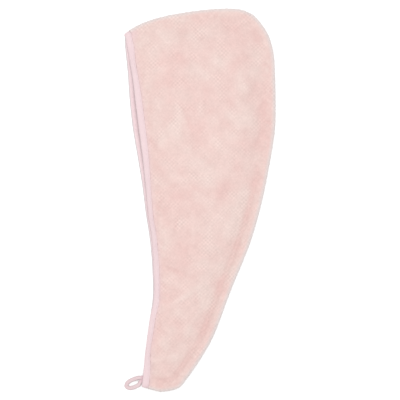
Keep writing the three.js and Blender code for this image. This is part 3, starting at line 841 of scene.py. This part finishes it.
def tape_profile():
    """Points across the folded tape, from its outer edge round the fold to its inner one, inward and out."""
    middle = half_thickness - TAPE / 2
    side = np.linspace(binding_width, half_thickness, SIDE_STEPS)
    inset = binding_width - side
    share = np.clip((inset - STITCH_INSET) / (binding_width - STITCH_INSET), 0, 1)
    height = middle + PUFF * np.sin(np.pi * share)
    height -= GROOVE_DEPTH * np.exp(-((inset - STITCH_INSET) / GROOVE_WIDTH) ** 2)
    height -= LIP_DROP * (1 - ramp(inset, 0, LIP_WIDTH))
    angle = np.linspace(math.pi / 2, 3 * math.pi / 2, FOLD_STEPS)[1:-1]
    bend = np.stack([half_thickness + middle * np.cos(angle), middle * np.sin(angle)], axis=1)
    outside = np.stack([side, height], axis=1)
    inside = np.stack([side[::-1], -height[::-1]], axis=1)
    return np.concatenate([outside, bend, inside])


def ripple(travel, length, seed, lengths):
    """A random wave along a closed line, of about -1 to 1, that meets itself at its ends."""
    draws = np.random.default_rng(seed)
    turns = np.round(length / draws.uniform(*lengths, TAPE_PUCKER_WAVES))
    phase = draws.uniform(0, 2 * math.pi, TAPE_PUCKER_WAVES)
    angles = travel[:, None] * turns * (2 * math.pi / length) + phase
    return np.cos(angles).sum(axis=1) * math.sqrt(2 / TAPE_PUCKER_WAVES)


profile = tape_profile()
travel = np.arange(binding_count) * binding_length / binding_count
puckers = ripple(travel, binding_length, 31, TAPE_PUCKER_LENGTHS) * TAPE_PUCKER
across, height = profile[:, 0], profile[:, 1]
near_edge = np.clip((across - half_thickness) / (binding_width - half_thickness), 0, 1)
heights = height[None, :] + puckers[:, None] * np.sign(height)[None, :] * near_edge[None, :]
binding_rows = (
    apex[:, None, :] + inward[:, None, :] * across[None, :, None] + out[:, None, :] * heights[:, :, None])
binding_rows[:, :, 2] = np.maximum(binding_rows[:, :, 2], TAPE / 2)
binding = strip("edge_binding_tape", binding_rows, True)
thick = binding.modifiers.new("thick", "SOLIDIFY")
thick.thickness = TAPE
thick.offset = 0
keep_modifiers(binding)
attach(binding, "root")
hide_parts("edge_binding")
print("Binding:", binding_count, "rows,", len(binding.data.polygons), "faces, width in millimetres",
      round(binding_width / MM, 2), "length", round(binding_length / MM))

# %% [markdown]
# The tape is a smooth, fine knit, a little cooler and pinker than the plush, with a soft shine. Its UV map
# runs across the tape and along it, so the columns and rows of knitting follow every turn. They are less
# than a millimetre apart, which is left to a bump. The folded tape's inner side is painted lighter, a
# painted light against the shade between the two layers, and its fold is painted greyer and darker, a
# painted shade. The rolled one is a little deeper all over, and painted darker at its sides and pinker and
# darker at its ends, where its two arms meet, as painted shade.

# %% Tape finish
KNIT_COLUMN, KNIT_ROW = 0.9 * MM, 0.7 * MM
KNIT_BEND = 1.2  # radians by which a row waves from one column to the next
TAPE_PINK = (0.655, 0.525, 0.535)
TAPE_DEEP = (0.620, 0.475, 0.495)
THREAD_PINK = (0.640, 0.500, 0.510)
# painted shade, darker and pinker, where the loop's two arms meet at its ends
ROOT_SHADE_PINK = (0.64, 0.42, 0.47)
# painted shade in the fold of the folded tape
FOLD_SHADE_GREY = (0.56, 0.51, 0.52)
TAPE_PATCH_SIZE = 18 * MM
TAPE_LIGHT, KNIT_LIGHT = 0.95, 0.1  # of the tape, and added on a stitch of its knit
ROLLED_DEEP, ROLLED_SIDE_SHADE = 0.05, 0.09  # by which a rolled tape is deeper, and its sides painted darker yet, a painted shade
INNER_PAINTED_LIGHT = 0.1  # painted light, by which the side inside the turban, in the shade between the layers, is lighter
FOLD_SHIFT = 0.3  # radians from the fold to where its painted shade is deepest, on the inner side
FOLD_START = 0.85  # of the wave across the tape, where the fold's painted grey shade begins
FOLD_SHADE_DEEP = 0.1  # by how much the fold is painted darker, a painted shade


def tape_finish(name, across, along, rolled=False):
    """The finish of a tape whose UV map spans these lengths."""
    tape = Surface(name)
    x, y = tape.across_and_along("UV")
    column = x * (2 * math.pi * round(across / KNIT_COLUMN))
    row = y * (2 * math.pi * round(along / KNIT_ROW))
    knit = (column.cos() + (row + column.cos() * KNIT_BEND).cos()) * 0.25 + 0.5
    colour = tape.between(tape.noise(TAPE_PATCH_SIZE), TAPE_PINK, TAPE_DEEP)
    light = TAPE_LIGHT + knit * KNIT_LIGHT
    if rolled:
        # painted shade at the loop's sides and at its ends
        side_shade = (x * (4 * math.pi)).cos()
        end_shade = (y * (2 * math.pi)).cos()
        colour = tape.between(end_shade * 2 - 1, colour, ROOT_SHADE_PINK)
        light = light - (side_shade + 1) * ROLLED_SIDE_SHADE - ROLLED_DEEP
    else:
        # painted light on the inner side of the folded tape
        light = light + (x * (2 * math.pi) + math.pi / 2).cos().above(0.0) * INNER_PAINTED_LIGHT
        # painted shade: the fold is painted greyer and darker
        fold = (x * (2 * math.pi) + (math.pi - FOLD_SHIFT)).cos().above(FOLD_START) * (1 / (1 - FOLD_START))
        colour = tape.between(fold, colour, FOLD_SHADE_GREY)
        light = light - fold * FOLD_SHADE_DEEP
    return tape.finish(
        Base_Color=tape.shaded(colour, light),
        Roughness=0.75,
        Specular_IOR_Level=0.25,
        Sheen_Weight=0.2,
        Sheen_Roughness=0.5,
        Normal=tape.bump(knit, 0.15 * MM, 0.6),
    )


profile_length = along_of(profile, False)[1]
binding.data.materials.append(tape_finish("binding_knit", profile_length, binding_length))
thread_material = plain_finish("thread", THREAD_PINK, roughness=0.6, specular=0.3)
print("Length across the folded tape in millimetres:", round(profile_length / MM, 1))

# %% [markdown]
# The binding is held by one line of stitches close to its edges, which goes through both sides. Each stitch
# is a small oval of thread, pressed into the groove. One oval is made, and its copies are turned to the
# line, put in place and gathered in a single mesh.

# %% Stitches
STITCH_LENGTH, STITCH_PITCH = 2.6 * MM, 3.2 * MM
THREAD = 0.45 * MM
STITCH_SIDES, STITCH_RINGS = 6, 4


def one_stitch():
    shape = bmesh.new()
    bmesh.ops.create_uvsphere(shape, u_segments=STITCH_SIDES, v_segments=STITCH_RINGS, radius=0.5)
    for corner in shape.verts:
        corner.co = (corner.co.x * THREAD, corner.co.y * THREAD, corner.co.z * STITCH_LENGTH)
    for face in shape.faces:
        face.smooth = True
    oval = bpy.data.meshes.new("one_stitch")
    shape.to_mesh(oval)
    shape.free()
    return oval


def stitches(name, lines):
    """Ovals of thread along lines of points. Each line comes with the way out of the surface it lies on."""
    shape = bmesh.new()
    pattern = one_stitch()
    for line, outward, closed in lines:
        distances, total = along_of(line, closed)
        count = int(total / STITCH_PITCH)
        values = np.concatenate([line, outward], axis=1)
        middles = resampled(values, distances, total, 2 * count + 1 - closed, closed)
        places, ups = middles[:, :3], unit(middles[:, 3:])
        for here in range(1, 2 * count - 1, 2):
            along = Vector(places[here + 1] - places[here - 1]).normalized()
            side = Vector(ups[here]).cross(along).normalized()
            turn = Matrix((side, along.cross(side), along)).transposed().to_4x4()
            oval = pattern.copy()
            oval.transform(Matrix.Translation(places[here]) @ turn)
            shape.from_mesh(oval)
            bpy.data.meshes.remove(oval)
    bpy.data.meshes.remove(pattern)
    for corner in shape.verts:
        corner.co.z = max(corner.co.z, 0)
    piece = new_piece(name, shape)
    piece.data.materials.append(thread_material)
    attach(piece, "root")
    return piece


def stitch_line(side):
    """The line on the outer side, 1, or the inner one, -1, of the binding, and the way out there."""
    inset = binding_width - STITCH_INSET
    surface = np.interp(STITCH_INSET, binding_width - across[:SIDE_STEPS], height[:SIDE_STEPS]) + TAPE / 2
    return apex + inward * inset + out * side * (surface + THREAD / 4), out * side, True


binding_stitches = stitches("binding_stitches", [stitch_line(1), stitch_line(-1)])
print("Faces in the stitches:", len(binding_stitches.data.polygons))

# %% [markdown]
# The hanging loop is a length of the same tape with its edges rolled in, so its section is a small
# flattened oval. Both ends are pressed flat where the binding's stitches hold them. The section of the CAD
# solid gives its middle, its width and its thickness at every station. The new one is a superellipse as
# thick as the solid and a little wider, and its two arms close up at their ends, as the photograph shows.

# %% Hanging loop
LOOP_STEP = 0.8 * MM
LOOP_ROUND = 20  # corners round the loop's section
LOOP_SQUARENESS = 2.3  # 2 is an ellipse
LOOP_FULLNESS = 1.3  # the soft tape is this much wider than its solid
LOOP_PINCH = 0.2  # share of their distance by which the arms close up at their ends
LOOP_PINCH_ENDS = (0.24, 0.42)  # share of half the loop's length where the pinch fades
LOOP_GROOVE, LOOP_GROOVE_WIDTH = 0.25 * MM, 0.3  # the width is a share of half the loop's own
LOOP_PARTS = 5  # of which the first and the last have no stitches


def loop_frame(rings):
    """Middles, unit sideways and upward directions, half widths and half thicknesses of the sections."""
    middle = rings.mean(axis=1)
    half = rings.shape[1] // 2
    spans = np.linalg.norm(rings[:, :half] - rings[:, half:], axis=2).mean(axis=0)
    widest = int(np.argmax(spans))
    side = unit(rings[:, widest] - rings[:, widest + half])
    along = unit(np.gradient(middle, axis=0))
    up = unit(np.cross(along, side))
    wide = np.abs(((rings - middle[:, None]) * side[:, None]).sum(axis=2)).max(axis=1)
    thick = np.abs(((rings - middle[:, None]) * up[:, None]).sum(axis=2)).max(axis=1)
    return middle, side, up, np.stack([wide, thick], axis=1)


middle, side, up, halves = loop_frame(loop_sections)
distances, loop_length = along_of(middle, False)
loop_rows = round(loop_length / LOOP_STEP)
values = np.concatenate([middle, side, up, halves], axis=1)
frames = resampled(values, distances, loop_length, loop_rows, False)
middle, side, up = frames[:, :3], unit(frames[:, 3:6]), unit(frames[:, 6:9])
wide, thick = frames[:, 9, None, None], frames[:, 10, None, None]
from_end = 1 - np.abs(np.linspace(-1, 1, loop_rows))
middle = middle + (middle[::-1] - middle) * LOOP_PINCH * (1 - ramp(from_end, *LOOP_PINCH_ENDS))[:, None]
wide = wide * LOOP_FULLNESS
angle = np.linspace(0, 2 * math.pi, LOOP_ROUND + 1)
sideways = np.sign(np.cos(angle)) * np.abs(np.cos(angle)) ** (2 / LOOP_SQUARENESS)
upward = np.sign(np.sin(angle)) * np.abs(np.sin(angle)) ** (2 / LOOP_SQUARENESS)
groove = LOOP_GROOVE * np.exp(-(sideways / LOOP_GROOVE_WIDTH) ** 2) * np.sign(upward)
loop_points = (
    middle[:, None] + side[:, None] * wide * sideways[None, :, None]
    + up[:, None] * (thick * upward[None, :, None] - groove[None, :, None]))
loop = strip("hanging_loop_tape", loop_points, False)
loop_round = along_of(loop_points[loop_rows // 2], False)[1]
loop.data.materials.append(tape_finish("loop_knit", loop_round, loop_length, rolled=True))
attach(loop, "root")
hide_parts("hanging_loop")
sewn = slice(len(middle) // LOOP_PARTS, -len(middle) // LOOP_PARTS)
loop_stitches = stitches("hanging_loop_stitches", [
    (middle[sewn] + up[sewn] * way * (thick[sewn, :, 0] - LOOP_GROOVE + THREAD / 4), up[sewn] * way, False)
    for way in (1, -1)])
print("Loop length in millimetres:", round(loop_length / MM, 1))

# %% [markdown]
# The button that the loop hooks on is turned from one plain plastic blank: a rim, a shallow dish inside it
# and four holes. It lies under the nape, dish down, where the photograph doesn't show it. A profile is spun
# round the button's axis, its sharp edges are bevelled, and the four holes are cut with cylinders. Two
# crossing pairs of thread hold it to the cloth above.

# %% Button
BUTTON_RIM = 2.2 * MM
BUTTON_DISH = 0.8 * MM
BUTTON_SOFT = 0.35 * MM
BUTTON_HOLE = 1.9 * MM
HOLE_SPACING = 3.8 * MM
BUTTON_STEPS = 64
HOLE_STEPS = 24
BEVEL_TURN = math.radians(30)  # an edge that turns more than this is bevelled
SMOOTH_TURN = math.radians(35)  # and one that turns less than this is shaded smooth
BUTTON_PINK = (0.62, 0.45, 0.45)
BUTTON_THREAD = 0.9 * MM
THREAD_STEPS = 12

button_low, button_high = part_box("button")
button_radius = (button_high.x - button_low.x) / 2
button_thickness = button_high.z - button_low.z
button_place = Vector(((button_low.x + button_high.x) / 2, (button_low.y + button_high.y) / 2, button_low.z))


def button_blank():
    shape = bmesh.new()
    outline = [
        (0, BUTTON_DISH),
        (button_radius - BUTTON_RIM - BUTTON_DISH, BUTTON_DISH),
        (button_radius - BUTTON_RIM, 0),
        (button_radius, 0),
        (button_radius, button_thickness),
        (0, button_thickness),
    ]
    corners = [shape.verts.new((reach, 0, rise)) for reach, rise in outline]
    edges = [shape.edges.new(pair) for pair in zip(corners, corners[1:])]
    bmesh.ops.spin(
        shape, geom=corners + edges, axis=(0, 0, 1), angle=2 * math.pi, steps=BUTTON_STEPS, use_merge=True)
    bmesh.ops.remove_doubles(shape, verts=shape.verts, dist=MERGE)
    bmesh.ops.recalc_face_normals(shape, faces=shape.faces)
    sharp = [edge for edge in shape.edges if edge.calc_face_angle() > BEVEL_TURN]
    bmesh.ops.bevel(
        shape, geom=sharp, offset=BUTTON_SOFT, segments=3, profile=0.5, affect="EDGES", material=-1)
    return shape


def add_rod(shape, width, length, steps, place):
    bmesh.ops.create_cone(
        shape, cap_ends=True, segments=steps, radius1=width / 2, radius2=width / 2, depth=length,
        matrix=place)


def rods(places, width, bottom, top, steps):
    """Upright rods of a width, side by side in one shape."""
    shape = bmesh.new()
    for x, y in places:
        middle = Matrix.Translation(button_place + Vector((x, y, (bottom + top) / 2)))
        add_rod(shape, width, top - bottom, steps, middle)
    return shape


holes = [(x * HOLE_SPACING / 2, y * HOLE_SPACING / 2) for x in (-1, 1) for y in (-1, 1)]
blank = button_blank()
bmesh.ops.translate(blank, verts=blank.verts, vec=button_place)
button = new_piece("button_turned", blank)
cutter = new_piece("hole_cutter", rods(holes, BUTTON_HOLE, -MM, button_thickness + MM, HOLE_STEPS))
drilled = button.modifiers.new("drilled", "BOOLEAN")
drilled.operation = "DIFFERENCE"
drilled.object = cutter
keep_modifiers(button)
bpy.data.objects.remove(cutter)
button.data.polygons.foreach_set("use_smooth", [True] * len(button.data.polygons))
button.data.set_sharp_from_angle(angle=SMOOTH_TURN)
button.data.materials.append(plain_finish("button_plastic", BUTTON_PINK, roughness=0.3, specular=0.5))

thread = rods(holes, BUTTON_THREAD, BUTTON_DISH / 2, button_thickness, THREAD_STEPS)
crossing = Matrix.Translation(button_place + Vector((0, 0, BUTTON_DISH - BUTTON_THREAD / 2)))
for turn in (math.pi / 4, -math.pi / 4):
    lying = crossing @ Matrix.Rotation(turn, 4, "Z") @ Matrix.Rotation(math.pi / 2, 4, "Y")
    add_rod(thread, BUTTON_THREAD, HOLE_SPACING * math.sqrt(2) + BUTTON_THREAD, THREAD_STEPS, lying)
button_thread = new_piece("button_thread", thread)
button_thread.data.materials.append(thread_material)
for piece in (button, button_thread):
    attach(piece, "root")
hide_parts("button")
print("Button in millimetres:", round(2 * button_radius / MM, 1), "by", round(button_thickness / MM, 1))
